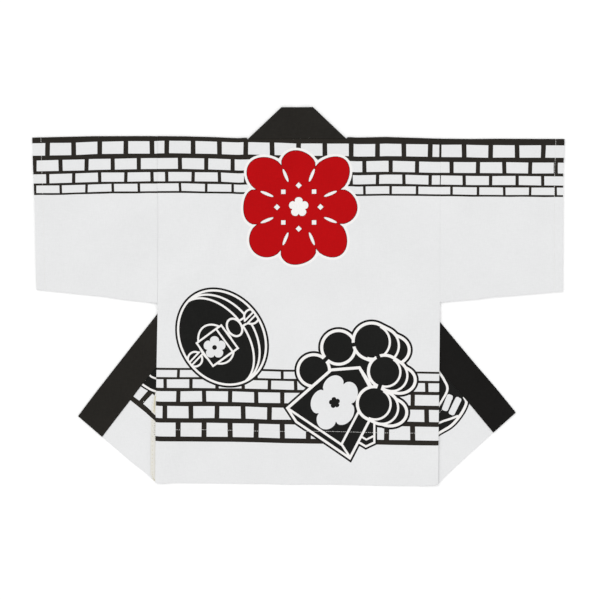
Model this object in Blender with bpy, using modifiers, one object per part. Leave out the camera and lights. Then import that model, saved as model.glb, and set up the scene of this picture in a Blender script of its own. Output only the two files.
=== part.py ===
"""Happi coat laid out flat with its back upwards, modelled at real size in metres.

+X runs to the right sleeve, +Y towards the neck and +Z up; the coat rests on z = 0.
Each front is folded outwards underneath the coat along a slanting line from its
hem corner to the neck, so its lower part and its collar band stick out at the side.
The cloth lies in three levels: 0 the folded-out fronts, 1 the fronts and the lower
halves of the sleeves, 2 the back and the upper halves of the sleeves.
"""
import math

import bmesh
import bpy
from mathutils import Vector

# Driving dimensions of the cut
CLOTH = 0.001             # wall of the printed cotton, with its turned-in seams
BAND = 0.002              # collar band, folded over several layers
GAP = 0.0003              # clearance at seams and between layers that touch
NECK_CHAMFER = 0.004      # corner of the neck opening that makes room for the band's fold
SHOULDER_Y = 0.367        # height of the shoulder and sleeve-top line
COLLAR_TOP_Y = 0.4355     # upper edge of the standing collar
COLLAR_WIDTH = 0.072      # width of the collar band at the back of the neck

# One row for each half of the coat: widths from the centre line, heights from the origin
SIDES = {
    "left": {
        "sign": -1, "body_top_x": 0.324, "hem_x": 0.330, "hem_y": -0.429,
        "cuff_x": 0.612, "cuff_low_x": 0.604, "cuff_low_y": 0.014, "underarm_y": -0.015,
        "fold_angle": 69.5, "front_hem": 0.2345, "band_width": 0.0733,
        "collar_top_x": 0.0392,
    },
    "right": {
        "sign": 1, "body_top_x": 0.327, "hem_x": 0.322, "hem_y": -0.4324,
        "cuff_x": 0.612, "cuff_low_x": 0.6095, "cuff_low_y": 0.010, "underarm_y": -0.013,
        "fold_angle": 68.5, "front_hem": 0.243, "band_width": 0.0707,
        "collar_top_x": 0.0335,
    },
}

# The left front's edge shows past the back below the vent: height and overhang
VENT_OVERHANG = (
    {"y": -0.215, "out": 0.000},
    {"y": -0.255, "out": 0.010},
    {"y": -0.345, "out": 0.011},
    {"y": -0.412, "out": 0.011},
)

# Drape and meshing
CELL = 0.033              # spacing of the lattice that all layers share
LATTICE_SHIFT = 0.0117    # keeps lattice lines off the outlines
COVER = 1.5 * CELL        # reach at which an upper layer is still fully lifted
EASE = 0.060              # length over which it comes down again
SLEEVE_PUFF = 0.0012      # air left inside each flattened sleeve
BEND_STEPS = 4            # facets around a hairpin fold

COLOURS = {
    "cotton": {"colour": (0.82, 0.82, 0.83, 1.0), "roughness": 0.85},
    "band": {"colour": (0.022, 0.021, 0.020, 1.0), "roughness": 0.8},
}


# ---------------------------------------------------------------- plane geometry

def meet(point, direction, other, other_direction):
    """Crossing point of two lines in the plane."""
    cross = direction.x * other_direction.y - direction.y * other_direction.x
    offset = other - point
    along = (offset.x * other_direction.y - offset.y * other_direction.x) / cross
    return point + direction * along


def mirrored(point, base, direction):
    """Point reflected in the line through base."""
    offset = point - base
    return base + 2.0 * direction * offset.dot(direction) - offset


def clipped(outline, base, normal):
    """Part of an outline on the side of a line that its normal points to."""
    kept = []
    for index, start in enumerate(outline):
        end = outline[(index + 1) % len(outline)]
        depth_start = (start - base).dot(normal)
        depth_end = (end - base).dot(normal)
        if depth_start >= 0.0:
            kept.append(start)
        if depth_start * depth_end < 0.0:
            kept.append(start.lerp(end, depth_start / (depth_start - depth_end)))
    return kept


def inside(point, outline):
    crossings = 0
    for index, start in enumerate(outline):
        end = outline[(index + 1) % len(outline)]
        if (start.y > point.y) != (end.y > point.y):
            reach = start.x + (point.y - start.y) * (end.x - start.x) / (end.y - start.y)
            crossings += point.x < reach
    return crossings % 2 == 1


def distance(point, outline):
    """Distance from a point to a region, zero inside it."""
    if inside(point, outline):
        return 0.0
    nearest = math.inf
    for index, start in enumerate(outline):
        run = outline[(index + 1) % len(outline)] - start
        along = max(0.0, min(1.0, (point - start).dot(run) / run.length_squared))
        nearest = min(nearest, (point - start - run * along).length)
    return nearest


def falloff(reach):
    """1 within the cover of a lower layer, easing to 0 beyond it."""
    t = max(0.0, min(1.0, (reach - COVER) / EASE))
    return 1.0 - t * t * (3.0 - 2.0 * t)


# ---------------------------------------------------------------- the cut pieces

class Half:
    """Outlines of one half of the coat, with its front closed and folded out."""

    def __init__(self, row):
        sign = row["sign"]
        self.sign = sign
        self.corner = Vector((sign * row["hem_x"], row["hem_y"]))
        self.top = Vector((sign * row["body_top_x"], SHOULDER_Y))
        self.underarm = self.on_side(row["underarm_y"])
        angle = math.radians(row["fold_angle"])
        self.fold = Vector((-sign * math.cos(angle), math.sin(angle)))
        self.inward = Vector((-sign * math.sin(angle), -math.cos(angle)))

        # Band edges with the front closed: free edge towards the centre line
        self.band_top = Vector((sign * row["collar_top_x"], COLLAR_TOP_Y))
        self.free_hem = self.corner - Vector((sign * row["front_hem"], 0.0))
        down = (self.free_hem - self.band_top).normalized()
        miter = (down + Vector((sign, 0.0))).normalized()
        base = Vector((0.0, COLLAR_TOP_Y - COLLAR_WIDTH))
        self.band_base = meet(self.band_top, miter, base, Vector((1.0, 0.0)))
        self.sewn_hem = self.free_hem + Vector((sign * row["band_width"] / -down.y, 0.0))
        self.band = [self.band_top, self.band_base, self.sewn_hem, self.free_hem]

        seam = Vector((sign * GAP, 0.0))
        neck = meet(self.sewn_hem + seam, self.band_base - self.sewn_hem,
                    self.top, Vector((1.0, 0.0)))
        self.neck_top = neck + Vector((sign * NECK_CHAMFER, 0.0))
        self.neck_low = neck.lerp(self.sewn_hem + seam, 1.4 * NECK_CHAMFER / neck.length)
        self.vent = []
        if sign < 0:
            for step in VENT_OVERHANG:
                self.vent.append(self.on_side(step["y"]) - Vector((step["out"], 0.0)))
        self.front = [self.top, *self.vent, self.corner, self.sewn_hem + seam,
                      self.neck_low, self.neck_top]

        wrist = Vector((sign * row["cuff_x"], SHOULDER_Y))
        wrist_low = Vector((sign * row["cuff_low_x"], row["cuff_low_y"]))
        armhole = Vector((sign * GAP, 0.0))
        self.sleeve = [self.top + armhole, wrist, wrist_low, self.underarm + armhole]

    def on_side(self, y):
        """Point of the body's straight side edge at a height."""
        return self.corner.lerp(self.top, (y - self.corner.y) / (self.top.y - self.corner.y))

    def kept(self, outline):
        return clipped(outline, self.corner, -self.inward)

    def turned(self, outline):
        part = clipped(outline, self.corner, self.inward)
        return [mirrored(point, self.corner, self.fold) for point in part]


def back_outline(left, right):
    notch_y = COLLAR_TOP_Y - COLLAR_WIDTH - GAP
    return [left.top, left.corner, right.corner, right.top,
            right.neck_top, Vector((right.band_base.x + GAP, notch_y)),
            Vector((left.band_base.x - GAP, notch_y)), left.neck_top]


# ---------------------------------------------------------------- layered sheets

def lattice():
    """Triangulated grid over the whole coat, the same for every layer."""
    cells_x = 40
    cells_y = 29
    mesh = bmesh.new()
    bmesh.ops.create_grid(mesh, x_segments=cells_x, y_segments=cells_y, size=0.5)
    for vert in mesh.verts:
        vert.co.x = vert.co.x * cells_x * CELL + LATTICE_SHIFT
        vert.co.y = vert.co.y * cells_y * CELL + LATTICE_SHIFT
    bmesh.ops.triangulate(mesh, faces=mesh.faces[:], quad_method="FIXED")
    return mesh


def touches(face, start, end):
    """Whether a face may meet the stretch of outline between two points."""
    slack = 1e-5
    for axis in (0, 1):
        values = [vert.co[axis] for vert in face.verts]
        if min(values) > max(start[axis], end[axis]) + slack:
            return False
        if max(values) < min(start[axis], end[axis]) - slack:
            return False
    return True


def sheet(outline, height):
    """Open surface over an outline, at the middle of the cloth's thickness."""
    mesh = lattice()
    for vert in mesh.verts:
        vert.co.z = height(vert.co.xy)
    for index, start in enumerate(outline):
        end = outline[(index + 1) % len(outline)]
        run = (end - start).normalized()
        faces = [face for face in mesh.faces if touches(face, start, end)]
        edges = {edge for face in faces for edge in face.edges}
        verts = {vert for face in faces for vert in face.verts}
        bmesh.ops.bisect_plane(mesh, geom=[*verts, *edges, *faces], dist=1e-6,
                               plane_co=start.to_3d(), plane_no=(run.y, -run.x, 0.0))
    outer = [face for face in mesh.faces
             if not inside(face.calc_center_median().xy, outline)]
    bmesh.ops.delete(mesh, geom=outer, context="FACES")
    return mesh


def merged(parts):
    """One bmesh holding the open sheets of a piece."""
    whole = bmesh.new()
    for part in parts:
        lookup = {vert: whole.verts.new(vert.co) for vert in part.verts}
        for face in part.faces:
            whole.faces.new([lookup[vert] for vert in face.verts])
        part.free()
    return whole


def edge_line(mesh, base, direction, upper):
    """Boundary vertices of the lower or upper sheet on a fold line, in order."""
    side = Vector((direction.y, -direction.x))
    found = []
    for vert in mesh.verts:
        if abs((vert.co.xy - base).dot(side)) < 2e-5 and vert.is_boundary:
            found.append(vert)
    found.sort(key=lambda vert: (round((vert.co.xy - base).dot(direction), 4), vert.co.z))
    return found[1::2] if upper else found[0::2]


def hairpin(mesh, base, direction, outward):
    """Bend that carries the cloth from the lower sheet round to the upper one."""
    low = edge_line(mesh, base, direction, upper=False)
    high = edge_line(mesh, base, direction, upper=True)
    rows = []
    for bottom, top in zip(low, high, strict=True):
        radius = 0.5 * (top.co.z - bottom.co.z)
        row = [bottom]
        for step in range(1, BEND_STEPS):
            angle = math.pi * step / BEND_STEPS
            shift = outward * radius * math.sin(angle)
            lift = bottom.co.z + radius * (1.0 - math.cos(angle))
            row.append(mesh.verts.new((bottom.co.x + shift.x, bottom.co.y + shift.y, lift)))
        row.append(top)
        rows.append(row)
    for first, second in zip(rows, rows[1:]):
        for step in range(BEND_STEPS):
            mesh.faces.new((first[step], second[step], second[step + 1], first[step + 1]))


def solid(name, mesh, thickness, finish, collection):
    """Object whose wall is the open surface thickened to both sides."""
    bmesh.ops.recalc_face_normals(mesh, faces=mesh.faces[:])
    data = bpy.data.meshes.new(name)
    mesh.to_mesh(data)
    mesh.free()
    piece = bpy.data.objects.new(name, data)
    collection.objects.link(piece)
    piece.data.materials.append(finish)
    wall = piece.modifiers.new("wall", "SOLIDIFY")
    wall.thickness = thickness
    wall.offset = 0.0
    wall.use_even_offset = True
    piece.data.shade_smooth()
    piece.data.set_sharp_from_angle(angle=math.radians(40.0))
    return piece


def cover(layer, point):
    """Lift that one layer gives to whatever lies over a point."""
    return max((thick + GAP) * falloff(distance(point, outline)) for outline, thick in layer)


def make_material(name):
    look = COLOURS[name]
    finish = bpy.data.materials.new(name)
    finish.use_nodes = True
    shader = finish.node_tree.nodes["Principled BSDF"]
    shader.inputs["Base Color"].default_value = look["colour"]
    shader.inputs["Roughness"].default_value = look["roughness"]
    shader.inputs["Metallic"].default_value = 0.0
    finish.diffuse_color = look["colour"]
    return finish


def centre(pieces):
    """Move the coat so that its origin is the middle of its box at the table."""
    graph = bpy.context.evaluated_depsgraph_get()
    points = []
    for piece in pieces:
        points += [vert.co.copy() for vert in piece.evaluated_get(graph).data.vertices]
    shift = Vector((0.0, 0.0, 0.0))
    for axis in (0, 1):
        values = [point[axis] for point in points]
        shift[axis] = -0.5 * (min(values) + max(values))
    shift.z = -min(point.z for point in points)
    for piece in pieces:
        for vert in piece.data.vertices:
            vert.co += shift


def build():
    for item in list(bpy.data.objects):
        bpy.data.objects.remove(item, do_unlink=True)
    coat = bpy.data.collections.new("happi_coat")
    bpy.context.scene.collection.children.link(coat)
    cotton = make_material("cotton")
    black = make_material("band")

    halves = [Half(SIDES["left"]), Half(SIDES["right"])]
    level_0 = []
    level_1 = []
    for half in halves:
        level_0.append((half.turned(half.front), CLOTH))
        level_0.append((half.turned(half.band), BAND))
        level_1.append((half.kept(half.front), CLOTH))
        level_1.append((half.kept(half.band), BAND))
        level_1.append((half.sleeve, CLOTH))

    lifts = {}

    def lift(level, point):
        """Height of the underside of a level over a point."""
        if level == 0:
            return 0.0
        key = (level, round(point.x, 5), round(point.y, 5))
        if key not in lifts:
            below = level_0 if level == 1 else level_1
            lifts[key] = lift(level - 1, point) + cover(below, point)
        return lifts[key]

    def middle(level, thickness):
        return lambda point: lift(level, point) + 0.5 * thickness

    pieces = [solid("back", sheet(back_outline(*halves), middle(2, CLOTH)),
                    CLOTH, cotton, coat)]

    for side, half in zip(SIDES, halves):
        folded = merged([
            sheet(half.turned(half.front), middle(0, CLOTH)),
            sheet(half.kept(half.front), middle(1, CLOTH)),
        ])
        hairpin(folded, half.corner, half.fold, half.inward)
        pieces.append(solid("front_" + side, folded, CLOTH, cotton, coat))

        def puffed(point, half=half):
            top, wrist, wrist_low, underarm = half.sleeve
            across = (abs(point.x) - abs(top.x)) / (abs(wrist.x) - abs(top.x))
            along = (point.y - underarm.y) / (top.y - underarm.y)
            rise = 0.0
            if 0.0 < across < 1.0 and 0.0 < along < 1.0:
                rise = SLEEVE_PUFF * math.sin(math.pi * across) * math.sin(math.pi * along)
            return lift(2, point) + 0.5 * CLOTH + rise

        tube = merged([
            sheet(half.sleeve, middle(1, CLOTH)),
            sheet(half.sleeve, puffed),
        ])
        top, wrist, wrist_low, underarm = half.sleeve
        hairpin(tube, top, (wrist - top).normalized(), Vector((0.0, 1.0)))
        seam = (wrist_low - underarm).normalized()
        hairpin(tube, underarm, seam, Vector((seam.y, -seam.x)) * half.sign)
        pieces.append(solid("sleeve_" + side, tube, CLOTH, cotton, coat))

    left, right = halves
    neck = [left.band_top, left.band_base, right.band_base, right.band_top]
    parts = [sheet(neck, middle(2, BAND))]
    for half in halves:
        parts.append(sheet(half.turned(half.band), middle(0, BAND)))
        parts.append(sheet(half.kept(half.band), middle(1, BAND)))
    collar = merged(parts)
    for half in halves:
        hairpin(collar, half.corner, half.fold, half.inward)
        miter = (half.band_top - half.band_base).normalized()
        outward = Vector((half.sign * miter.y, -half.sign * miter.x))
        hairpin(collar, half.band_base, miter, outward)
    pieces.append(solid("collar", collar, BAND, black, coat))

    centre(pieces)


build()
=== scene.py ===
"""Looks of the happi coat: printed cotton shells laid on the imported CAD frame.

Each piece is cut as a flat sheet with its print as exact outlines in the mesh, and
then carried round its folds to where its CAD solid lies. Tables are in millimetres.
"""

import math

import bpy
import numpy as np
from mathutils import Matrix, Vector
from mathutils.geometry import delaunay_2d_cdt


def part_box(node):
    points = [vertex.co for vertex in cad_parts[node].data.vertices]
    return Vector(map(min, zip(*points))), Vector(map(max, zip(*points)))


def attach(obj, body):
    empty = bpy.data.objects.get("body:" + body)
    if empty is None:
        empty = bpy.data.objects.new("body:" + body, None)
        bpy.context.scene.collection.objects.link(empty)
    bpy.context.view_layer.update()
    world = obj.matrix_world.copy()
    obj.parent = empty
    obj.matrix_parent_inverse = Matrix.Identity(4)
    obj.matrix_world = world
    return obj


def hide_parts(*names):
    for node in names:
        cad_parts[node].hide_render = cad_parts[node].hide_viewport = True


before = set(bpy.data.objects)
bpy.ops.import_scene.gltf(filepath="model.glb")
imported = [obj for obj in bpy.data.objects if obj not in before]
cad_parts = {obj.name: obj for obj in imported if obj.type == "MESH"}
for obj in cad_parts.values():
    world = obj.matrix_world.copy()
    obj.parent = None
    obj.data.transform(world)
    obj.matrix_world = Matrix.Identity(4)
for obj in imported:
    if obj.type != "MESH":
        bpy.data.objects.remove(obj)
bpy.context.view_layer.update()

MM = 0.001


def rows_of(columns, *rows):
    """Rows of numbers as dictionaries, under the names of their columns."""
    return [dict(zip(columns.split(), row)) for row in rows]


# Cut of the coat, as in its CAD solids (millimetres from the centre line)
SHOULDER_Y = 367.0
COLLAR_TOP_Y = 435.5
COLLAR_WIDTH = 72.0
CLOTH = 1.0  # room one layer of cloth takes in the stack
BAND = 2.0  # room the collar band takes
GAP = 0.3
BAND_SEAM = 0.1  # the fronts run closer to the collar band that covers their edge
NECK_CHAMFER = 4.0
SIDES = rows_of(
    "measure left right",
    ("sign", -1, 1), ("body_top_x", 324.0, 327.0),
    ("hem_x", 330.0, 322.0), ("hem_y", -429.0, -432.4),
    ("cuff_x", 612.0, 612.0), ("cuff_low_x", 604.0, 609.5), ("cuff_low_y", 14.0, 10.0),
    ("underarm_y", -15.0, -13.0), ("armhole_gap", 0.3, 0.12),
    ("fold_angle", 69.5, 68.5), ("front_hem", 234.5, 243.0),
    ("band_width", 73.3, 70.7), ("collar_top_x", 39.2, 33.5),
)
VENT_OVERHANG = rows_of(
    "y out",
    (-215.0, 0.0), (-255.0, 10.0), (-345.0, 11.0), (-412.0, 11.0),
)
VENT_TOP_Y = -215.0

# The shells
CLOTH_WALL = 0.8
BAND_WALL = 1.8
PAINTED_SHADE_FROM = 400.0  # painted shade: the collar's right end takes a darker black from here on, as it catches less sheen than the neck
MESH = 6.0  # spacing of the cloth's mesh
EDGE_STEP = 7.0  # longest edge along a printed or cut outline
COVER = 6.0  # an upper layer stays fully lifted this far past a lower one
EASE = 45.0  # and comes down over this length
PUFF = 1.6  # air inside a flattened sleeve
PINCH = 0.18  # how far a seam draws its two edges together
PINCH_REACH = 3.0
PUCKER = 0.16  # small ripples across a seam
PUCKER_REACH = 11.0
PUCKER_PITCH = 15.0
BLEND = 8.0  # how softly overlapping layers join in the drape
BEND_ROWS = np.arange(-2.0, 2.1, 0.5)
SEAM_ROWS = (-6.0, -3.5, -1.7, 1.7, 3.5, 6.0)
STITCH_ROWS = (-2.4, -1.2, 0.0, 1.2, 2.4)
HEM_STITCH_Y = -310.0  # the hem is turned up and sewn down here
HEM_STITCH_TILT = -0.014
HEM_STEP = 0.3  # what the turned-up layer adds
CUFF_TURN = 20.0

# Print, in the order that its inks are numbered
COTTON, BLACK, CHARCOAL, RED, HALO, SELVEDGE, RIM, TAN, DARK_MARK = range(9)
BLEED = 0.5  # how far the black ink creeps into each brick


# ---- plane geometry

def vec(x, y):
    return np.array([x, y], dtype=float)


def unit(v):
    return v / np.hypot(v[0], v[1])


def units(rows):
    return rows / np.linalg.norm(rows, axis=1)[:, None]


def polar(angle):
    """Unit vector at an angle in degrees."""
    return vec(math.cos(math.radians(angle)), math.sin(math.radians(angle)))


def meet(point, run, other, other_run):
    cross = run[0] * other_run[1] - run[1] * other_run[0]
    offset = other - point
    along = (offset[0] * other_run[1] - offset[1] * other_run[0]) / cross
    return point + run * along


def mirrored(points, base, direction):
    offset = np.asarray(points) - base
    return base + 2.0 * np.outer(offset @ direction, direction) - offset


def clipped(outline, base, normal):
    """Part of an outline on the side of a line that its normal points to."""
    kept = []
    depths = [float((point - base) @ normal) for point in outline]
    for index, start in enumerate(outline):
        after = (index + 1) % len(outline)
        if depths[index] >= 0.0:
            kept.append(start)
        if depths[index] * depths[after] < 0.0:
            share = depths[index] / (depths[index] - depths[after])
            kept.append(start + (outline[after] - start) * share)
    return np.array(kept)


def inside(points, outline):
    """Even-odd test of many points against one outline."""
    x, y = points[:, 0], points[:, 1]
    hit = np.zeros(len(points), dtype=bool)
    for start, end in zip(outline, np.roll(outline, -1, axis=0)):
        if start[1] == end[1]:
            continue
        crosses = (start[1] > y) != (end[1] > y)
        reach = start[0] + (y - start[1]) * (end[0] - start[0]) / (end[1] - start[1])
        hit ^= crosses & (x < reach)
    return hit


def to_segment(points, start, end):
    run = end - start
    along = np.clip((points - start) @ run / (run @ run), 0.0, 1.0)
    return np.linalg.norm(points - start - np.outer(along, run), axis=1)


def to_edge(points, outline):
    nearest = np.full(len(points), np.inf)
    for start, end in zip(outline, np.roll(outline, -1, axis=0)):
        nearest = np.minimum(nearest, to_segment(points, start, end))
    return nearest


def distance(points, outline):
    """Distance from many points to a region, zero inside it."""
    return np.where(inside(points, outline), 0.0, to_edge(points, outline))


def eased(t):
    t = np.clip(t, 0.0, 1.0)
    return t * t * (3.0 - 2.0 * t)


def hull(points):
    """Convex outline round a set of points, anticlockwise."""
    ordered = sorted(map(tuple, points))
    chains = []
    for run in (ordered, ordered[::-1]):
        chain = []
        for point in run:
            while len(chain) > 1:
                (ax, ay), (bx, by) = chain[-2], chain[-1]
                if (bx - ax) * (point[1] - ay) - (by - ay) * (point[0] - ax) > 1e-9:
                    break
                chain.pop()
            chain.append(point)
        chains += chain[:-1]
    return np.array(chains)


def doubled_area(outline):
    """Twice the area inside an outline, positive when it runs anticlockwise."""
    x, y = outline[:, 0], outline[:, 1]
    return np.sum(x * np.roll(y, -1) - np.roll(x, -1) * y)


def grown(outline, amount):
    """Outline offset outwards, with its corners mitred."""
    run = units(np.roll(outline, -1, axis=0) - outline)
    normal = np.column_stack([run[:, 1], -run[:, 0]]) * np.sign(doubled_area(outline))
    miter = normal + np.roll(normal, 1, axis=0)
    size = np.maximum(np.sum(miter * miter, axis=1), 0.5)
    moved = outline + miter * (2.0 * amount / size)[:, None]
    return moved[to_edge(moved, outline) > 0.93 * abs(amount)]


def ring(outline, inner, outer):
    """Closed line along an outline, between two offsets."""
    outside = grown(outline, outer)
    within = grown(outline, inner)
    return np.vstack([outside, outside[:1], within[:1], within[::-1]])


def spaced(chain, closed):
    """The same line with points added, so that no step is longer than EDGE_STEP."""
    ends = np.roll(chain, -1, axis=0) if closed else chain[1:]
    points = []
    for start, end in zip(chain, ends):
        steps = max(1, math.ceil(np.hypot(*(end - start)) / EDGE_STEP))
        points += [start + (end - start) * step / steps for step in range(steps)]
    if not closed:
        points.append(chain[-1])
    return points


def stroke(points, width):
    """Outline of an open line of even width."""
    points = np.asarray(points, dtype=float)
    run = units(np.gradient(points, axis=0))
    side = np.column_stack([-run[:, 1], run[:, 0]]) * 0.5 * width
    return np.vstack([points + side, (points - side)[::-1]])


def ellipse(centre, half_length, half_width, angle=0.0, steps=56):
    t = np.linspace(0.0, 2.0 * math.pi, steps, endpoint=False)
    long_axis, short_axis = polar(angle), polar(angle + 90.0)
    return (centre + np.outer(half_length * np.cos(t), long_axis)
            + np.outer(half_width * np.sin(t), short_axis))


def box(centre, length, width, angle=0.0):
    along, across = polar(angle) * 0.5 * length, polar(angle + 90.0) * 0.5 * width
    return np.array([centre - along - across, centre + along - across,
                     centre + along + across, centre - along + across])


def smooth_line(points, steps=10):
    """Rounded line through a few points (Catmull-Rom)."""
    points = np.asarray(points, dtype=float)
    padded = np.vstack([2 * points[0] - points[1], points, 2 * points[-1] - points[-2]])
    line = []
    for index in range(1, len(padded) - 2):
        before, start, end, after = padded[index - 1:index + 3]
        for t in np.linspace(0.0, 1.0, steps, endpoint=False):
            line.append(0.5 * (2 * start + (end - before) * t
                               + (2 * before - 5 * start + 4 * end - after) * t ** 2
                               + (3 * start - before - 3 * end + after) * t ** 3))
    line.append(points[-1])
    return np.array(line)


# ---- the cut pieces

class Half:
    """Outlines of one half of the coat, with its front closed and folded out."""

    def __init__(self, row):
        sign = row["sign"]
        self.sign = sign
        self.corner = vec(sign * row["hem_x"], row["hem_y"])
        self.top = vec(sign * row["body_top_x"], SHOULDER_Y)
        self.underarm = self.on_side(row["underarm_y"])
        angle = math.radians(row["fold_angle"])
        self.fold = vec(-sign * math.cos(angle), math.sin(angle))
        self.inward = vec(-sign * math.sin(angle), -math.cos(angle))

        self.band_top = vec(sign * row["collar_top_x"], COLLAR_TOP_Y)
        self.free_hem = self.corner - vec(sign * row["front_hem"], 0.0)
        down = unit(self.free_hem - self.band_top)
        self.miter = unit(down + vec(sign, 0.0))
        base = vec(0.0, COLLAR_TOP_Y - COLLAR_WIDTH)
        self.band_base = meet(self.band_top, self.miter, base, vec(1.0, 0.0))
        self.sewn_hem = self.free_hem + vec(sign * row["band_width"] / -down[1], 0.0)
        self.band = np.array([self.band_top, self.band_base, self.sewn_hem, self.free_hem])

        seam = vec(sign * BAND_SEAM, 0.0)
        neck = meet(self.sewn_hem + seam, self.band_base - self.sewn_hem,
                    self.top, vec(1.0, 0.0))
        self.neck_top = neck + vec(sign * NECK_CHAMFER, 0.0)
        share = 1.4 * NECK_CHAMFER / np.hypot(*neck)
        self.neck_low = neck + (self.sewn_hem + seam - neck) * share
        overhang = VENT_OVERHANG if sign < 0 else ()
        vent = [self.on_side(step["y"]) - vec(step["out"], 0.0) for step in overhang]
        self.front = np.array([self.top, *vent, self.corner, self.sewn_hem + seam,
                               self.neck_low, self.neck_top])

        self.wrist = vec(sign * row["cuff_x"], SHOULDER_Y)
        self.wrist_low = vec(sign * row["cuff_low_x"], row["cuff_low_y"])
        armhole = vec(sign * row["armhole_gap"], 0.0)
        self.sleeve = np.array([self.top + armhole, self.wrist, self.wrist_low,
                                self.underarm + armhole])

    def on_side(self, y):
        share = (y - self.corner[1]) / (self.top[1] - self.corner[1])
        return self.corner + (self.top - self.corner) * share

    def kept(self, outline):
        return clipped(outline, self.corner, -self.inward)

    def turned(self, outline):
        return self.mirror(clipped(outline, self.corner, self.inward))

    def mirror(self, points):
        return mirrored(points, self.corner, self.fold)


LEFT, RIGHT = [Half({row["measure"]: row[side] for row in SIDES}) for side in ("left", "right")]
SHOULDER = (vec(0.0, SHOULDER_Y), vec(1.0, 0.0))
NECK_Y = COLLAR_TOP_Y - COLLAR_WIDTH - GAP
BACK = np.array([LEFT.top, LEFT.corner, RIGHT.corner, RIGHT.top, RIGHT.neck_top,
                 vec(RIGHT.band_base[0] + GAP, NECK_Y),
                 vec(LEFT.band_base[0] - GAP, NECK_Y), LEFT.neck_top])

# Where the pattern's origin is in the frame, in millimetres
back_low, back_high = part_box("back")
ORIGIN = vec(back_low[0] / MM - LEFT.corner[0], back_high[1] / MM - SHOULDER_Y)


# ---- how it lies

LEVEL_0 = []
LEVEL_1 = []
for half in (LEFT, RIGHT):
    LEVEL_0 += [(half.turned(half.front), CLOTH), (half.turned(half.band), BAND)]
    LEVEL_1 += [(half.kept(half.front), CLOTH), (half.kept(half.band), BAND)]
    LEVEL_1 += [(half.sleeve, CLOTH)]


def cover(layer, points):
    total = np.zeros(len(points))
    for outline, thick in layer:
        fall = 1.0 - eased((distance(points, outline) - COVER) / EASE)
        total += ((thick + GAP) * fall) ** BLEND
    return total ** (1.0 / BLEND)


# Soft creases, each a low ridge: middle, direction, length, width, height
CREASES = rows_of(
    "x y angle length width height",
    (-205, 120, 62, 260, 16, 0.9), (-120, -30, 71, 190, 12, 0.6), (150, 60, 108, 240, 18, 0.8),
    (250, 190, 123, 170, 13, 0.7), (40, -60, 84, 300, 22, 0.6), (-60, -380, 96, 110, 12, 0.8),
    (120, -395, 87, 90, 10, 0.7), (255, -385, 79, 100, 11, 0.7), (-250, -390, 101, 95, 11, 0.6),
    (-470, 150, 24, 210, 16, 1.0), (-400, 70, 38, 150, 12, 0.8), (-520, 60, 96, 120, 14, 0.6),
    (455, 140, 157, 220, 17, 1.0), (395, 55, 141, 140, 12, 0.8), (540, 80, 84, 130, 14, 0.6),
    (-395, -320, 128, 110, 9, 0.5), (390, -330, 50, 110, 9, 0.5),
)
CREASE_SHARE = (0.3, 0.6, 1.0)


def creases(points):
    total = np.zeros(len(points))
    for row in CREASES:
        along = polar(row["angle"])
        offset = points - vec(row["x"], row["y"])
        side = offset @ vec(-along[1], along[0])
        length = offset @ along
        bow = 0.04 * length * np.sin(length / 37.0)
        fade = np.clip(1.0 - (2.0 * length / row["length"]) ** 2, 0.0, 1.0) ** 1.5
        total += row["height"] * fade * np.exp(-((side + bow) / row["width"]) ** 2)
    swell = np.sin(points[:, 0] / 61.0 + 0.7) * np.sin(points[:, 1] / 83.0 + 1.9)
    return total + 0.2 * (1.0 + swell)


def lift(level, points):
    """Height of the underside of a level over points of the plan."""
    if level == 0:
        return np.zeros(len(points))
    below = LEVEL_0 if level == 1 else LEVEL_1
    return lift(level - 1, points) + cover(below, points)


def middle(level, thick):
    """Height of the middle of the cloth on a level, as a function of the plan."""
    def height(points):
        return lift(level, points) + 0.5 * thick + CREASE_SHARE[level] * creases(points)
    return height


def folded(points, base, inward, low, high):
    """Carry what lies past a fold line round a hairpin and back underneath."""
    depth = (points - base) @ inward
    foot = points - np.outer(depth, inward)
    radius = 0.5 * (high(foot) - low(foot))
    depth = depth + 0.5 * math.pi * radius
    turn = np.clip(depth / radius, 0.0, math.pi)
    past = np.clip(depth - math.pi * radius, 0.0, None)
    before = np.clip(depth, None, 0.0)
    start = foot - np.outer(0.5 * math.pi * radius, inward)
    plan = start + np.outer(before + radius * np.sin(turn) - past, inward)
    height = 0.5 * (high(foot) + low(foot)) + radius * np.cos(turn)
    height = np.where(before < 0.0, high(plan), height)
    height = np.where(past > 0.0, low(plan), height)
    return np.column_stack([plan, height])


# The shoulder line as it lies, a few millimetres from straight
SHOULDER_SWAY = rows_of(
    "x dy",
    (-612, -1.5), (-470, 1.7), (-350, 2.0), (-260, 1.2), (-200, -0.4), (-137, -3.0),
    (-110, -1.2), (0, -0.4), (110, -0.4), (135, -1.6), (200, -0.2), (314, -3.8),
    (400, -4.8), (460, -4.2), (612, -4.8),
)

# The body's side edges, likewise, from the underarm to the hem
SIDE_SWAY = rows_of(
    "y left right",
    (-440, 0.8, -1.2), (-320, 0.6, -0.8), (-180, 1.8, -0.2), (-40, 3.4, 0.4), (60, 2.8, 0.2),
    (160, 2.6, 0.0), (215, 2.0, 0.0), (255, 0.0, 0.0),
)

# The cuffs, likewise
CUFF_SWAY = rows_of(
    "y left right",
    (0, 1.6, -1.0), (60, 1.2, -2.4), (160, 2.2, -3.2), (240, 1.6, -3.2), (300, 0.4, -3.0),
    (345, 0.0, -0.6),
)

# And the hem of the back
HEM_SWAY = rows_of(
    "x dy",
    (-330, 1.6), (-250, 0.2), (-140, 0.0), (-80, 0.8), (-24, -1.2), (110, -1.4),
    (200, -2.4), (285, -3.2), (312, -0.6),
)

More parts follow.
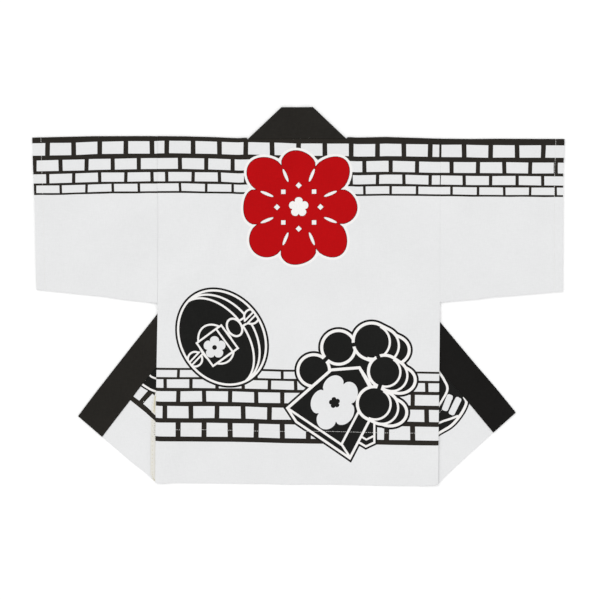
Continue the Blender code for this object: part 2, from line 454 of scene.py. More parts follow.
# The lower edge of the folded-out fronts, which lie a little higher than their cut
FLAP_SWAY = rows_of(
    "x dy",
    (-520, 0.0), (-470, 0.6), (-380, 0.6), (-350, 2.6), (-332, 1.2), (-320, 0.0), (320, 0.0),
    (336, 2.8), (362, 3.6), (392, 3.4), (420, 2.8), (450, 2.0), (500, 0.0),
)
SLEEVE_RISE = 2.2  # and so do the sleeves' lower folds
BODY_EDGE = 326.0  # the side shifts fade away from here
CUFF_FROM = 480.0  # the cuff shifts start here


def from_table(table, places, at="x", key="dy"):
    return np.interp(places, [row[at] for row in table], [row[key] for row in table])


def settled(points):
    """Small shifts in plan of cloth that was laid out by hand."""
    x, y = points[:, 0], points[:, 1]
    out = np.abs(x)
    shoulder = from_table(SHOULDER_SWAY, x) * eased((y + 60.0) / 400.0)
    hem = from_table(HEM_SWAY, x) + 0.6 * np.sin(x / 47.0)
    flap = from_table(FLAP_SWAY, x)
    under = eased((out - 400.0) / 50.0) * eased((y + 60.0) / 40.0) * eased((70.0 - y) / 60.0)
    rise = shoulder + hem * eased((-y - 330.0) / 90.0)
    rise += flap * eased((-y - 150.0) / 80.0) + SLEEVE_RISE * under
    drift = np.zeros(len(points))
    for table, near in ((SIDE_SWAY, eased(1.0 - np.abs(out - BODY_EDGE) / 150.0)),
                        (CUFF_SWAY, eased((out - CUFF_FROM) / 130.0))):
        sides = [from_table(table, y, "y", side) for side in ("left", "right")]
        drift += near * np.where(x < 0.0, *sides)
    return np.column_stack([x + drift, y + rise])


# ---- the print

def panel_line(points):
    """Slight unevenness of a hand-drawn line."""
    points = np.asarray(points, dtype=float)
    x, y = points[:, 0], points[:, 1]
    return points + 0.35 * np.column_stack([np.sin(y / 9.1 + x / 23.0),
                                            np.sin(x / 13.7 + y / 31.0)])


SHOULDER_BAND = {
    "top": SHOULDER_Y + 6.0, "first": SHOULDER_Y - 13.0, "tilt": 0.0,
    "sway": rows_of(
        "x dy",
        (-612, 0.0), (-530, -0.6), (-430, 1.0), (-325, 1.9), (-290, 2.9), (-200, 3.2),
        (-140, 4.2), (-108, 1.9), (0, -1.2), (100, -2.0), (190, -2.1), (260, -1.0),
        (380, -0.3), (430, -1.3), (612, -1.8),
    ),
    "rows": rows_of(
        "brick below joint set",
        (29.4, 10.1, 10.1, 0), (26.0, 5.8, 8.7, 1), (21.9, 4.5, 6.9, 0),
        (18.2, 4.0, 5.1, 1),
    ),
}
HEM_BAND = {
    "top": -162.7, "first": -167.1, "tilt": -0.0138,
    "sway": rows_of(
        "x dy",
        (-330, -2.0), (-215, -0.6), (-140, -0.5), (-60, -1.8), (240, -2.2), (325, -2.6),
    ),
    "rows": rows_of(
        "brick below joint set",
        (17.2, 4.4, 5.8, 0), (20.7, 6.4, 7.1, 1), (25.1, 9.2, 9.0, 0),
        (28.5, 9.9, 10.1, 1), (32.7, 10.8, 10.8, 0),
    ),
}
SHOULDER_JOINTS = ([60.55 * k for k in range(-5, 6)],
                   [60.55 * (k + 0.5) for k in range(-5, 5)])
SEAM_JOINT = 329.0  # one more joint, half hidden in the right armhole seam


def brick_band(band, low_x, high_x, joints, rise=0.0):
    """Black band from one x to another with rows of bricks left white in it."""
    def placed(points):
        points = panel_line(points)
        sway = from_table(band["sway"], points[:, 0])
        tilt = band["tilt"] * (points[:, 0] + 263.0)
        return np.column_stack([points[:, 0], points[:, 1] + sway + tilt + rise])

    base = band["first"] - sum(row["brick"] + row["below"] for row in band["rows"])
    xs = np.linspace(low_x, high_x, 12)
    edge = [(x, band["top"]) for x in xs] + [(x, base) for x in xs[::-1]]
    shapes = [(placed(edge), CHARCOAL)]
    top = band["first"]
    for row in band["rows"]:
        stops = [low_x - 20.0, *sorted(joints[row["set"]]), high_x + 20.0]
        for start, end in zip(stops, stops[1:]):
            left = start + 0.5 * row["joint"] + BLEED
            right = end - 0.5 * row["joint"] - BLEED
            head, foot = top - BLEED, top - row["brick"] + BLEED
            brick = [(left, head), (right, head), (right, foot), (left, foot)]
            shapes.append((placed(brick), COTTON))
        top -= row["brick"] + row["below"]
    return shapes


def flower(centre, radius, petals, cleft, turn=90.0, squareness=2.0, steps=18):
    """Blossom outline with rounded petals and pointed clefts between them."""
    outline = []
    for index in range(petals * steps):
        angle = 2.0 * math.pi * index / (petals * steps)
        lobe = abs(math.cos(0.5 * petals * angle)) ** 0.6
        heading = angle + math.radians(turn)
        corner = (abs(math.cos(heading)) ** squareness
                  + abs(math.sin(heading)) ** squareness) ** (-1.0 / squareness)
        reach = radius * corner * (1.0 - cleft * (1.0 - lobe))
        outline.append(centre + reach * vec(math.cos(heading), math.sin(heading)))
    return np.array(outline)


def red_blossom():
    """Large red blossom on the back, its petals uneven as from a full brush."""
    centre = vec(0.5, 206.0)
    outline = flower(centre, 130.0, 8, 0.27, turn=90.0, squareness=3.2)
    offset = outline - centre
    heading = np.arctan2(offset[:, 1], offset[:, 0])
    brush = 1.0 + 0.022 * np.sin(3.0 * heading + 0.6) + 0.02 * np.sin(7.0 * heading + 2.1)
    outline = centre + offset * brush[:, None]
    shapes = [(grown(outline, 7.0), HALO), (grown(outline, 1.4), RIM), (outline, RED)]

    def opening(shape):
        return [(grown(shape, 0.8), RIM), (shape, HALO)]

    for index in range(8):
        petal = 22.5 + 45.0 * index
        shapes += opening(ellipse(centre + 79.0 * polar(petal), 16.0, 3.4, petal, steps=14))
    for index in range(8):
        petal = 45.0 * index
        shapes += opening(box(centre + 50.0 * polar(petal), 10.0, 10.0, petal + 45.0))
    return shapes + opening(flower(centre, 23.0, 5, 0.34, steps=8))


def far_arc(outline, direction):
    """Stretch of a convex outline that faces a direction."""
    run = np.roll(outline, -1, axis=0) - np.roll(outline, 1, axis=0)
    facing = np.column_stack([run[:, 1], -run[:, 0]]) @ direction > 0.0
    first = next(i for i in range(len(outline)) if facing[i] and not facing[i - 1])
    return np.roll(outline, -first, axis=0)[:facing.sum()]


def barrel(centre, radius, shift):
    """Round body seen askew, as a near and a far section with a line between them."""
    front = ellipse(centre, radius, radius)
    if not shift.any():
        return [front]
    waist = centre + 0.5 * shift
    near = hull(np.vstack([front, ellipse(waist, 0.97 * radius, 0.97 * radius)]))
    far = hull(np.vstack([ellipse(waist, 0.84 * radius, 0.84 * radius),
                          ellipse(centre + shift, 0.98 * radius, 0.8 * radius)]))
    return [near, far]


def drum():
    """Flat drum seen askew, with its lacing ring, two studs and a boxed flower badge."""
    tilt = -54.0
    head_side = polar(tilt + 90.0)
    centre, half_length, half_width = vec(-176.7, -94.3), 112.5, 92.0
    body = ellipse(centre, half_length, half_width, tilt, steps=72)
    shapes = [(grown(body, 9.6), BLACK), (grown(body, 5.0), HALO), (body, BLACK)]
    for width in (75.0, 84.5):
        hoop_centre = centre - (half_width + 2.6 - width) * head_side
        hoop = ellipse(hoop_centre, half_length + 1.2, width, tilt, steps=72)
        shapes.append((ring(hoop, -2.3, 2.3), HALO))
    heading = 38.0
    across = polar(heading)

    lacing = vec(-147.0, -71.0)
    strap = box(lacing + 24.0 * polar(32.0), 30.0, 15.0, 32.0)
    shapes += [(grown(strap, 2.0), HALO), (grown(strap, -2.6), BLACK)]
    hole = ellipse(lacing, 21.5, 16.0, -58.0, steps=36)
    shapes += [(grown(hole, 2.4), HALO), (grown(hole, -2.4), BLACK)]

    for centre, reach in ((vec(-108.0, -46.0), 11.0), (vec(-238.5, -144.0), -16.0)):
        edge, facing = centre + reach * across, -math.copysign(1.0, reach) * across
        stud = clipped(ellipse(centre, 17.0, 17.0, heading, steps=36), edge, facing)
        shapes += [(grown(stud, 2.2), HALO), (grown(stud, -2.4), BLACK)]
        for width, ink in ((12.5, HALO), (4.4, BLACK)):
            bar = clipped(box(centre, 40.0, width, heading + 8.0), edge, facing)
            shapes.append((bar, ink))
    shapes += [(ring(body, 5.0, 9.6), BLACK), (ring(body, 0.2, 5.0), HALO)]

    badge = vec(-193.0, -117.0)
    disc = ellipse(badge + vec(3.0, 7.5), 51.0, 39.0, tilt, steps=48)
    face = box(badge, 65.0, 56.0, tilt)
    case = hull(np.vstack([face, face + vec(12.0, 8.0)]))
    shapes += [(disc, HALO), (grown(disc, -4.4), BLACK)]
    shapes += [(grown(case, 2.2), HALO), (grown(case, -2.2), BLACK), (ring(face, -2.1, 2.1), HALO)]
    shapes += [(flower(badge, 26.0, 5, 0.34, turn=tilt), COTTON)]
    return shapes + [(ellipse(badge, 5.5, 5.5, steps=20), BLACK)]


def drum_cluster():
    """Cluster of small drums round a tilted board with a pale blossom on it."""
    halo, rim = 6.8, 11.6
    drums = {  # each one's middle, radius, and where its far end is from there
        "a": (vec(35, -170), 33.0, vec(0, 0)),
        "b": (vec(92, -117), 35.3, vec(0, 0)),
        "c": (vec(168, -103), 38.8, vec(45, -20)),
        "d": (vec(198, -172), 33.8, vec(34, -20)),
        "e": (vec(174, -246), 35.3, vec(37, -20)),
    }
    bodies = {name: barrel(*row) for name, row in drums.items()}
    face = np.array([(-22, -257), (76, -171), (139, -166), (164, -212), (98, -338)], float)
    edge = vec(19.0, -29.0)
    board = hull(np.vstack([face, face + edge]))
    grip = np.array([(146, -270), (172, -274), (172, -334), (155, -342), (133, -329)], float)
    ground = np.array([(60, -176), (110, -130), (160, -120), (186, -166), (160, -190)], float)

    def drawn(name):
        centre, radius, shift = drums[name]
        near, *far = bodies[name]
        parts = [(grown(solid, halo), HALO) for solid in bodies[name]]
        if not far:
            return parts + [(near, BLACK)]
        parts += [(far[0], BLACK), (grown(near, 5.0), HALO), (near, BLACK)]
        rim_line = ellipse(centre + 0.07 * shift, radius, radius)
        return parts + [(stroke(far_arc(rim_line, unit(shift)), 5.0), HALO)]

    def joined(first, second):
        return [(stroke([drums[first][0], drums[second][0]], 9.0), BLACK)]

    shapes = [(grown(solid, rim), BLACK) for solids in bodies.values() for solid in solids]
    shapes += [(grown(board, 10.0), BLACK), (grown(grip, 9.0), BLACK), (ground, BLACK)]
    shapes += drawn("a") + drawn("b") + drawn("c") + joined("a", "b") + joined("b", "c")
    shapes += drawn("d") + joined("c", "d")
    shapes += [(grown(grip, 4.8), HALO), (grip, BLACK)]
    shapes += [(stroke([(136, -317), (156, -329), (172, -321)], 4.6), HALO)]
    shapes += [(grown(board, 5.6), HALO), (board, BLACK), (ring(face, -1.0, 4.2), HALO)]
    shapes += [(stroke([face[4] + edge * t for t in (0.0, 0.5, 1.0)], 5.0), HALO)]
    shapes += drawn("e") + joined("d", "e")

    bloom, along = vec(83.0, -244.0), polar(64.0)
    outline = flower(bloom, 53.0, 5, 0.30, turn=100.0)
    outline = outline + 0.25 * np.outer((outline - bloom) @ along, along)
    return shapes + [(outline, COTTON), (flower(bloom, 13.0, 5, 0.3, turn=100.0, steps=8), BLACK)]


def back_print():
    even, odd = SHOULDER_JOINTS
    shapes = brick_band(SHOULDER_BAND, -340.0, 340.0, (even + [SEAM_JOINT], odd))
    joints = ([-277.2 + 60.0 * k for k in range(10)], [-308.0 + 60.3 * k for k in range(11)])
    shapes += brick_band(HEM_BAND, -340.0, 340.0, joints)
    return shapes + red_blossom() + drum() + drum_cluster()


def sleeve_print(half):
    if half.sign < 0:
        joints = ([-336.7 - 60.0 * k for k in range(5)], [-366.9 - 60.0 * k for k in range(5)])
        shapes = brick_band(SHOULDER_BAND, -625.0, -315.0, joints)
    else:
        joints = ([323.2] + [380.7 + 60.9 * k for k in range(4)],
                  [351.9 + 60.5 * k for k in range(5)])
        shapes = brick_band(SHOULDER_BAND, 315.0, 625.0, joints)
    return shapes + [(mirrored(outline, *SHOULDER), ink) for outline, ink in shapes]


def front_print(half):
    """Bands of the front and, on its folded-out part, the edge of a round motif."""
    sign = half.sign
    shapes = brick_band(SHOULDER_BAND, *sorted((sign * 340.0, sign * 60.0)), SHOULDER_JOINTS)
    joints = ([sign * (184.7 + 60.0 * k) for k in range(3)],
              [sign * (154.0 + 60.3 * k) for k in range(4)])
    rise = 10.5 if sign < 0 else 2.0
    shapes += brick_band(HEM_BAND, *sorted((sign * 345.0, sign * 60.0)), joints, rise)
    laid = left_flap_motif() if sign < 0 else right_flap_motif()
    return shapes + [(half.mirror(outline), ink) for outline, ink in laid]


def left_flap_motif():
    """Shapes as they lie on the folded-out left front."""
    edge = smooth_line([(-366, -199), (-350, -211), (-336, -217.5), (-318, -221)])
    dark = np.vstack([edge, [(-250, -222), (-200, -60), (-300, -40), (-420, -180)]])
    upper = smooth_line([(-346, -179), (-338, -186), (-318, -192)])
    return [(grown(dark, 6.0), BLACK), (stroke(edge, 4.8), HALO), (stroke(upper, 4.2), HALO)]


def right_flap_motif():
    """Shapes as they lie on the folded-out right front."""
    outer = smooth_line([(381, -234), (386, -249), (372, -277), (349, -302), (312, -320)])
    dark = np.vstack([outer, [(250, -320), (230, -80), (330, -70), (395, -180)]])
    inner = smooth_line([(318, -166), (335, -193), (342, -220), (316, -262)])
    chord = smooth_line([(312, -294), (345, -286), (368, -278)])
    shapes = [(grown(dark, 7.0), BLACK), (stroke(outer, 6.2), HALO)]
    shapes += [(stroke(inner, 5.4), HALO), (stroke(chord, 5.0), HALO)]
    for start, end in (((350, -229), (336, -265)), ((370, -236), (351, -275))):
        run = vec(*end) - vec(*start)
        middle_point = vec(*start) + 0.5 * run
        heading = math.degrees(math.atan2(run[1], run[0]))
        shapes.append((rounded_bar(middle_point, np.hypot(*run), 14.5, heading), COTTON))
    return shapes


def rounded_bar(centre, length, width, heading, corner=4.5):
    """Bar with rounded corners."""
    outline = []
    for index, (sx, sy) in enumerate(((1, 1), (-1, 1), (-1, -1), (1, -1))):
        middle_point = vec(sx * (0.5 * length - corner), sy * (0.5 * width - corner))
        for step in range(5):
            outline.append(middle_point + corner * polar(90.0 * index + 22.5 * step))
    along, across = polar(heading), polar(heading + 90.0)
    return np.array([centre + p[0] * along + p[1] * across for p in outline])


# ---- meshes

def rows_beside(start, end, offsets):
    """Lines parallel to a seam or fold, to carry its relief."""
    start, end = vec(*start), vec(*end)
    side = unit(vec(end[1] - start[1], start[0] - end[0]))
    return [(start + side * offset, end + side * offset) for offset in offsets]


def cut(outline, shapes, lines, spacing):
    """Triangles of a flat sheet, with an ink for each, cut along all outlines."""
    points = []
    edges = []

    def add(chain, closed):
        first = len(points)
        chain = spaced(np.asarray(chain, dtype=float), closed)
        points.extend(Vector(point) for point in chain)
        count = len(chain)
        for index in range(count if closed else count - 1):
            edges.append((first + index, first + (index + 1) % count))

    low, high = outline.min(axis=0), outline.max(axis=0)
    add(outline, True)
    near = []
    for shape, ink in shapes:
        if np.all(shape.min(axis=0) < high) and np.all(shape.max(axis=0) > low):
            near.append((shape, ink))
            add(shape, True)
    for line in lines:
        add(line, False)
    xs = np.arange(low[0] + 0.37 * spacing, high[0], spacing)
    ys = np.arange(low[1] + 0.41 * spacing, high[1], spacing)
    grid = np.array([(x + (0.5 * spacing if row % 2 else 0.0), y)
                     for row, y in enumerate(ys) for x in xs])
    grid = grid[inside(grid, outline)]
    points.extend(Vector(point) for point in grid)
    verts, _, faces, _, _, _ = delaunay_2d_cdt(points, edges, [], 0, 1e-4, False)
    verts = np.array([tuple(vert) for vert in verts])
    faces = np.array(faces)
    a, b, c = verts[faces[:, 0]], verts[faces[:, 1]], verts[faces[:, 2]]
    area = (b[:, 0] - a[:, 0]) * (c[:, 1] - a[:, 1]) - (b[:, 1] - a[:, 1]) * (c[:, 0] - a[:, 0])
    faces[area < 0.0] = faces[area < 0.0][:, ::-1]
    centres = (a + b + c) / 3.0
    keep = inside(centres, outline) & (np.abs(area) > 1e-6)
    faces, centres = faces[keep], centres[keep]
    inks = np.full(len(faces), COTTON)
    for shape, ink in near:
        box_low, box_high = shape.min(axis=0), shape.max(axis=0)
        close = np.flatnonzero(np.all((centres > box_low) & (centres < box_high), axis=1))
        inks[close[inside(centres[close], shape)]] = ink
    used, renumbered = np.unique(faces, return_inverse=True)
    return verts[used], renumbered.reshape(faces.shape), inks


def linked(name, data):
    made = bpy.data.objects.new(name, data)
    bpy.context.scene.collection.objects.link(made)
    return made


def new_piece(name, verts, faces):
    """Smooth object of points in millimetres, shifted as the cloth settled."""
    plan = settled(verts[:, :2]) + ORIGIN
    mesh = bpy.data.meshes.new(name)
    mesh.from_pydata((np.column_stack([plan, verts[:, 2]]) * MM).tolist(), [], faces)
    mesh.shade_smooth()
    return linked(name, mesh)


def shell(name, verts, faces, inks, wall, finishes, face_down=False):
    """Object of a sheet with its inks, thickened to both sides."""
    if face_down:
        faces = faces[:, ::-1]
    piece = new_piece(name, verts, faces.tolist())
    for finish in finishes:
        piece.data.materials.append(finish)
    piece.data.polygons.foreach_set("material_index", inks.astype(np.int32))
    thick = piece.modifiers.new("wall", "SOLIDIFY")
    thick.thickness = wall * MM
    thick.offset = 0.0
    thick.material_offset = len(finishes) // 2
    graph = bpy.context.evaluated_depsgraph_get()
    solid = bpy.data.meshes.new_from_object(piece.evaluated_get(graph))
    piece.modifiers.clear()
    piece.data = solid
    solid.name = name
    solid.set_sharp_from_angle(angle=math.radians(50.0))
    return piece


def pinched(points, seams):
    """How far seams draw the two edges that they join towards each other."""
    total = np.zeros(len(points))
    for start, end in seams:
        start, end = vec(*start), vec(*end)
        reach = to_segment(points, start, end)
        along = (points - start) @ unit(end - start)
        ripple = np.sin(2.0 * math.pi * along / PUCKER_PITCH + 2.0 * np.sin(along / 41.0))
        ripple = PUCKER * (0.5 + 0.5 * np.sin(along / 67.0)) * ripple
        pull = PINCH * np.exp(-(reach / PINCH_REACH) ** 2)
        pull += ripple * np.exp(-(reach / PUCKER_REACH) ** 2) * (1.0 - np.exp(-reach / 2.0))
        total = np.where(np.abs(pull) > np.abs(total), pull, total)
    return total


# ---- materials

def linear(red, green, blue):
    """Scene colour of an 8-bit display colour."""
    channels = []
    for value in (red, green, blue):
        value /= 255.0
        channels.append(value / 12.92 if value < 0.04045 else ((value + 0.055) / 1.055) ** 2.4)
    return (*channels, 1.0)


def cloth(name, colour, tone=0.03, weave=1.1, roughness=0.86, relief=0.05, gloss=0.2):
    """Woven cotton: crossing threads, slubs and a slight change of tone."""
    finish = bpy.data.materials.new(name)
    finish.use_nodes = True
    nodes, links = finish.node_tree.nodes, finish.node_tree.links
    shader = nodes["Principled BSDF"]
    shader.inputs["Roughness"].default_value = roughness
    shader.inputs["Specular IOR Level"].default_value = gloss
    shader.inputs["Sheen Weight"].default_value = 0.25 * gloss
    shader.inputs["Sheen Roughness"].default_value = 0.5
    place = nodes.new("ShaderNodeTexCoord")

    def wave(direction):
        node = nodes.new("ShaderNodeTexWave")
        node.bands_direction = direction
        settings = {"Scale": 314.0 / weave, "Distortion": 1.2, "Detail": 1.0, "Detail Scale": 0.6}
        for socket, value in settings.items():
            node.inputs[socket].default_value = value
        links.new(place.outputs["Object"], node.inputs["Vector"])
        return node.outputs["Fac"]

    def noise(scale, detail, stretch=(1.0, 1.0, 1.0)):
        shape = nodes.new("ShaderNodeMapping")
        shape.inputs["Scale"].default_value = stretch
        links.new(place.outputs["Object"], shape.inputs["Vector"])
        node = nodes.new("ShaderNodeTexNoise")
        node.inputs["Scale"].default_value = scale
        node.inputs["Detail"].default_value = detail
        links.new(shape.outputs["Vector"], node.inputs["Vector"])
        return node.outputs["Fac"]

    def math_node(operation, first, second):
        node = nodes.new("ShaderNodeMath")
        node.operation = operation
        for socket, value in zip(node.inputs, (first, second)):
            if isinstance(value, float):
                socket.default_value = value
            else:
                links.new(value, socket)
        return node.outputs[0]

    threads = math_node("MULTIPLY", math_node("ADD", wave("X"), wave("Y")), 0.5)
    slubs = math_node("ADD", noise(90.0, 2.0, (1.0, 7.0, 1.0)), noise(90.0, 2.0, (7.0, 1.0, 1.0)))
    slubs = math_node("MULTIPLY", slubs, 0.5)
    blotch = noise(7.0, 3.0)
    mixed = math_node("ADD", math_node("MULTIPLY", threads, 0.25), math_node("MULTIPLY", slubs, 0.75))
    mixed = math_node("ADD", math_node("MULTIPLY", mixed, 0.7), math_node("MULTIPLY", blotch, 0.3))
    ramp = nodes.new("ShaderNodeValToRGB")
    ramp.color_ramp.elements[0].position = 0.32
    ramp.color_ramp.elements[1].position = 0.68
    for element, gain in zip(ramp.color_ramp.elements, (1.0 - tone, 1.0 + tone)):
        element.color = (*(min(1.0, channel * gain) for channel in colour[:3]), 1.0)
    links.new(mixed, ramp.inputs["Fac"])
    links.new(ramp.outputs["Color"], shader.inputs["Base Color"])
    bump = nodes.new("ShaderNodeBump")
    bump.inputs["Strength"].default_value = relief * 10.0
    bump.inputs["Distance"].default_value = 0.0002
    links.new(math_node("ADD", threads, slubs), bump.inputs["Height"])
    links.new(bump.outputs["Normal"], shader.inputs["Normal"])
    return finish


cotton = cloth("cotton", linear(225.5, 226, 226.5), tone=0.05)
black_ink = cloth("black_ink", linear(28, 28, 27), tone=0.3, roughness=0.8, gloss=0.05)
charcoal_ink = cloth("charcoal_ink", linear(42, 39, 35), tone=0.25, roughness=0.8, gloss=0.05)
red_ink = cloth("red_ink", linear(180, 10, 15), tone=0.1, roughness=0.75, gloss=0.04)
white_ink = cloth("white_ink", linear(238, 236, 234), tone=0.02)
selvedge = cloth("selvedge", linear(221, 219, 212), tone=0.07, weave=1.6, relief=0.08)
rim_ink = cloth("rim_ink", linear(92, 14, 18), tone=0.1, gloss=0.05)
cotton_wrong = cloth("cotton_wrong", linear(222, 222, 223), tone=0.05)
black_wrong = cloth("black_wrong", linear(172, 172, 174), tone=0.07)
red_wrong = cloth("red_wrong", linear(214, 168, 166), tone=0.06)
band_black = cloth("band_black", linear(36, 34, 31), tone=0.3, weave=1.4, gloss=0.08)
# painted shade: a darker copy of band_black for the collar's right end, which catches less sheen
band_painted_shade = cloth("band_painted_shade", linear(25, 24, 23), tone=0.3, weave=1.4, gloss=0.05)
white_thread = cloth("white_thread", linear(232, 231, 228), tone=0.04, weave=0.5)
tan_thread = cloth("tan_thread", linear(203, 196, 168), tone=0.06, weave=0.5)
PRINT = [cotton, black_ink, charcoal_ink, red_ink, white_ink, selvedge, rim_ink, tan_thread,
         charcoal_ink, cotton_wrong, black_wrong, black_wrong, red_wrong, cotton_wrong,
         selvedge, red_wrong, tan_thread, charcoal_ink]


# ---- the pieces

def declare(piece, node):
    """Parent a piece to the root body and hide the CAD node that it stands for."""
    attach(piece, "root")
    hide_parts(node)


def seam_lines(seams):
    lines = []
    for start, end in seams:
        lines += rows_beside(start, end, SEAM_ROWS)
    return lines


def hem_line(low_x, high_x, steps=24):
    """Route of the hem's stitching across the back or a closed front."""
    xs = np.linspace(low_x, high_x, steps)
    wander = 0.8 * np.sin(xs / 43.0)
    return np.column_stack([xs, HEM_STITCH_Y + HEM_STITCH_TILT * xs + wander])


def sewn_step(depth, height, dimple):
    """Rise onto a turned-in layer, past the dimple that its stitching makes."""
    return height * eased(depth / 2.5) - dimple * np.exp(-(depth / 2.0) ** 2)


def hem_step(points):
    depth = HEM_STITCH_Y + HEM_STITCH_TILT * points[:, 0] - points[:, 1]
    return sewn_step(depth, HEM_STEP, 0.16)


def sew(name, lay, routes, thread, face, pitch=4.4, length=3.7, width=0.95):
    """A joined mesh of running stitches lying on a face of the cloth (1 up, -1 down)."""
    verts, faces = [], []
    sides = 6
    for route in routes:
        route = np.asarray(route, dtype=float)
        steps = np.linalg.norm(np.diff(route, axis=0), axis=1)
        along = np.concatenate([[0.0], np.cumsum(steps)])
        starts = np.arange(0.5 * pitch, along[-1] - length, pitch)
        for number, start in enumerate(starts):
            reach = start + length * (0.5 + 0.5 * np.array([-1.0, -0.55, 0.0, 0.55, 1.0]))
            reach += 0.35 * math.sin(2.3 * number)
            flat = np.column_stack([np.interp(reach, along, route[:, axis]) for axis in (0, 1)])
            run = unit(flat[-1] - flat[0])
            side = vec(-run[1], run[0])
            centre = lay(flat)
            across = units(lay(flat + 0.5 * side) - centre)
            up = units(np.cross(lay(flat + 0.5 * run) - centre, across))
            arch = np.array([-0.30, 0.02, 0.12, 0.02, -0.30])
            centre = centre + face * up * (0.5 * CLOTH_WALL + arch)[:, None]
            girth = 0.5 * width * np.array([0.45, 0.9, 1.0, 0.9, 0.45])
            base = len(verts)
            for place, size, right, top in zip(centre, girth, across, up):
                for step in range(sides):
                    turn = 2.0 * math.pi * step / sides
                    verts.append(place + size * (math.cos(turn) * right
                                                 + 0.7 * math.sin(turn) * top))
            for section in range(4):
                for step in range(sides):
                    a = base + section * sides + step
                    b = base + section * sides + (step + 1) % sides
                    faces.append((b, a, a + sides, b + sides))
            faces.append(tuple(base + step for step in range(sides)))
            faces.append(tuple(base + 4 * sides + step for step in range(sides - 1, -1, -1)))
    piece = new_piece(name, np.array(verts), faces)
    piece.data.materials.append(thread)
    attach(piece, "root")


def make_back():
    shoulders = [(half.top, half.neck_top) for half in (LEFT, RIGHT)]
    seams = [(half.top, half.on_side(VENT_TOP_Y)) for half in (LEFT, RIGHT)] + shoulders
    height = middle(2, CLOTH)

    def lay(points):
        top = height(points) + hem_step(points) - pinched(points, seams)
        return np.column_stack([points, top])

    lines = seam_lines([(half.top, half.corner) for half in (LEFT, RIGHT)] + shoulders)
    stitching = hem_line(LEFT.corner[0] + 3.0, RIGHT.corner[0] - 3.0)
    lines += [stitching + vec(0.0, offset) for offset in STITCH_ROWS]
    verts, faces, inks = cut(BACK, back_print(), lines, MESH)
    piece = shell("back_shell", lay(verts), faces, inks, CLOTH_WALL, PRINT)
    declare(piece, "back")
    sew("back_hem_stitches", lay, [stitching], white_thread, 1.0)


def make_front(half, side):
    seams = [(half.top, half.on_side(VENT_TOP_Y)), (half.top, half.neck_top)]

    def low(points):
        return middle(0, CLOTH)(points) + 0.2 * hem_step(half.mirror(points))

    def lay(points):
        placed = folded(points, half.corner, half.inward, low, middle(1, CLOTH))
        placed[:, 2] += pinched(points, seams)
        return placed

    lines = rows_beside(half.corner, half.corner + 900.0 * half.fold, BEND_ROWS)
    lines += seam_lines(seams)
    shapes = front_print(half)
    if half.sign < 0:
        shapes += selvedge_edge(half)
    verts, faces, inks = cut(half.front, shapes, lines, MESH)
    name = "front_" + side
    piece = shell(name + "_shell", lay(verts), faces, inks, CLOTH_WALL, PRINT, face_down=True)
    declare(piece, name)
    ends = half.sign * np.array([abs(half.corner[0]) - 6.0, abs(half.sewn_hem[0]) + 14.0])
    sew(name + "_hem_stitches", lay, [hem_line(*ends)], white_thread, -1.0)


def selvedge_edge(half):
    """Woven edge of the cloth along the open vent, with its tan thread and dark charcoal marks."""
    outer = [half.on_side(row["y"]) - vec(row["out"] + 2.0, 0.0) for row in VENT_OVERHANG]
    outer.append(half.corner - vec(2.0, 0.0))
    inner = [point + vec(15.0, 0.0) for point in outer[::-1]]
    shapes = [(np.array(outer + inner), SELVEDGE)]
    shapes += [(stroke([(-331, -230), (-332, -250), (-333, -268)], 2.4), TAN)]
    line = smooth_line([point + vec(6.5, 0.0) for point in outer], steps=8)
    for point in line[3:-3]:
        shapes.append((ellipse(point, 1.3, 0.8, 90.0, steps=8), TAN))
    # dark flecks and a stroke in charcoal ink, just beside the back's side edge
    for spot in range(6):
        fleck = vec(-332.5 + 1.2 * (spot % 2), -293.0 - 5.1 * spot)
        shapes.append((ellipse(fleck, 1.0, 0.7, 40.0, steps=8), DARK_MARK))
    return shapes + [(stroke([(-352, -262.5), (-337, -275), (-320, -289)], 10.5), DARK_MARK)]


def make_sleeve(half, side):
    under = mirrored(half.sleeve, *SHOULDER)
    top, wrist, wrist_low, underarm = half.sleeve
    flat = np.array([top, under[3], under[2], wrist, wrist_low, underarm])
    seams = [(underarm, wrist_low), (top, underarm)]
    upper_middle = middle(2, CLOTH)

    def puffed(points):
        across = (np.abs(points[:, 0]) - abs(top[0])) / (abs(wrist[0]) - abs(top[0]))
        along = (points[:, 1] - underarm[1]) / (top[1] - underarm[1])
        swell = np.sin(math.pi * np.clip(0.85 * across, 0.0, 1.0))
        swell *= np.sin(math.pi * np.clip(along, 0.0, 1.0))
        cuff = sewn_step(np.abs(points[:, 0]) - (abs(wrist[0]) - CUFF_TURN), 0.5 * HEM_STEP, 0.12)
        return upper_middle(points) + PUFF * swell + cuff

    def lay(points):
        placed = folded(points, SHOULDER[0], vec(0.0, 1.0), middle(1, CLOTH), puffed)
        sign = np.where(points[:, 1] > SHOULDER_Y, 1.0, -1.0)
        placed[:, 2] += sign * pinched(placed[:, :2], seams)
        return placed

    lines = rows_beside(SHOULDER[0], vec(half.sign * 650.0, SHOULDER_Y), BEND_ROWS)
    rows = seam_lines(seams)
    lines += rows + [tuple(mirrored(row, *SHOULDER)) for row in rows]
    cuff = [wrist_low, wrist, under[2]]
    cuff = np.array([point - vec(half.sign * CUFF_TURN, 0.0) for point in cuff])
    lines += [cuff + vec(offset, 0.0) for offset in STITCH_ROWS]
    verts, faces, inks = cut(flat, sleeve_print(half), lines, MESH)
    name = "sleeve_" + side
    piece = shell(name + "_shell", lay(verts), faces, inks, CLOTH_WALL, PRINT)
    declare(piece, name)
    sew(name + "_cuff_stitches", lay, [cuff], white_thread, 1.0)


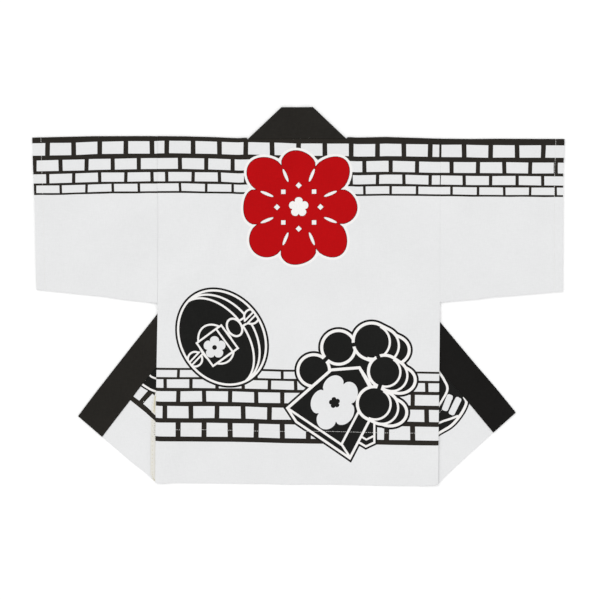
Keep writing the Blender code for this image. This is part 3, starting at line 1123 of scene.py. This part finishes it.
def make_collar():
    """One straight strip, folded under at both neck corners and again on each front."""
    ends = []
    lines = []
    for half in (LEFT, RIGHT):
        ends.append(mirrored([half.sewn_hem, half.free_hem], half.band_base, half.miter))
        lines += rows_beside(half.band_top - 40.0 * half.miter,
                             half.band_base + 40.0 * half.miter, BEND_ROWS * 2.0)
        fold = (half.corner, half.corner + 900.0 * half.fold)
        for row in rows_beside(*fold, BEND_ROWS * 2.0):
            lines.append(tuple(mirrored(row, half.band_base, half.miter)))
    strip = np.array([ends[0][1], ends[0][0], LEFT.band_base, RIGHT.band_base,
                      ends[1][0], ends[1][1], RIGHT.band_top, LEFT.band_top])
    verts, faces, inks = cut(strip, [], lines, MESH)
    # painted shade: the collar's right end gets the darker copy of the band's black
    inks[verts[faces].mean(axis=1)[:, 0] > PAINTED_SHADE_FROM] = 1
    placed = np.column_stack([verts, middle(2, BAND)(verts)])
    for half in (LEFT, RIGHT):
        outward = vec(half.miter[1], -half.miter[0])
        outward *= math.copysign(1.0, outward[0] * half.sign)
        depth = (verts - half.band_base) @ outward
        near = depth > -8.0
        bent = folded(verts[near], half.band_base, outward, middle(1, BAND), middle(2, BAND))
        under = depth[near] > 8.0
        bent[under] = folded(bent[under][:, :2], half.corner, half.inward,
                             middle(0, BAND), middle(1, BAND))
        placed[near] = bent
    finishes = [band_black, band_painted_shade] * 2
    piece = shell("collar_shell", placed, faces, inks, BAND_WALL, finishes)
    declare(piece, "collar")


def make_stage():
    bpy.ops.mesh.primitive_plane_add(size=60.0, location=(0.0, 0.0, -0.0004))
    floor = bpy.context.object
    floor.name = "floor"
    paper = cloth("paper", (0.98, 0.98, 0.98, 1.0), tone=0.004, relief=0.0, gloss=0.0)
    floor.data.materials.append(paper)
    world = bpy.data.worlds.new("studio")
    world.use_nodes = True
    background = world.node_tree.nodes["Background"]
    background.inputs["Color"].default_value = (1.0, 1.0, 1.0, 1.0)
    background.inputs["Strength"].default_value = 0.98
    bpy.context.scene.world = world
    lamp = bpy.data.lights.new("softbox", "SUN")
    lamp.angle = math.radians(24.0)
    lamp.energy = 0.54
    softbox = linked("softbox", lamp)
    softbox.location = (-2.2, 2.4, 2.2)
    softbox.rotation_euler = (-softbox.location).to_track_quat("-Z", "Y").to_euler()
    bpy.context.scene.view_settings.view_transform = "Standard"


def make_camera():
    """Straight down, with the field of view that frames 1.38 m."""
    data = bpy.data.cameras.new("camera")
    data.lens = 85.0
    camera = linked("camera", data)
    span = 1.38
    height = span * data.lens / data.sensor_width
    camera.location = (0.0035 + ORIGIN[0] * MM, -0.0080 + ORIGIN[1] * MM, height)
    bpy.context.scene.camera = camera


make_back()
for side_name, side_half in (("left", LEFT), ("right", RIGHT)):
    make_front(side_half, side_name)
    make_sleeve(side_half, side_name)
make_collar()
make_stage()
make_camera()
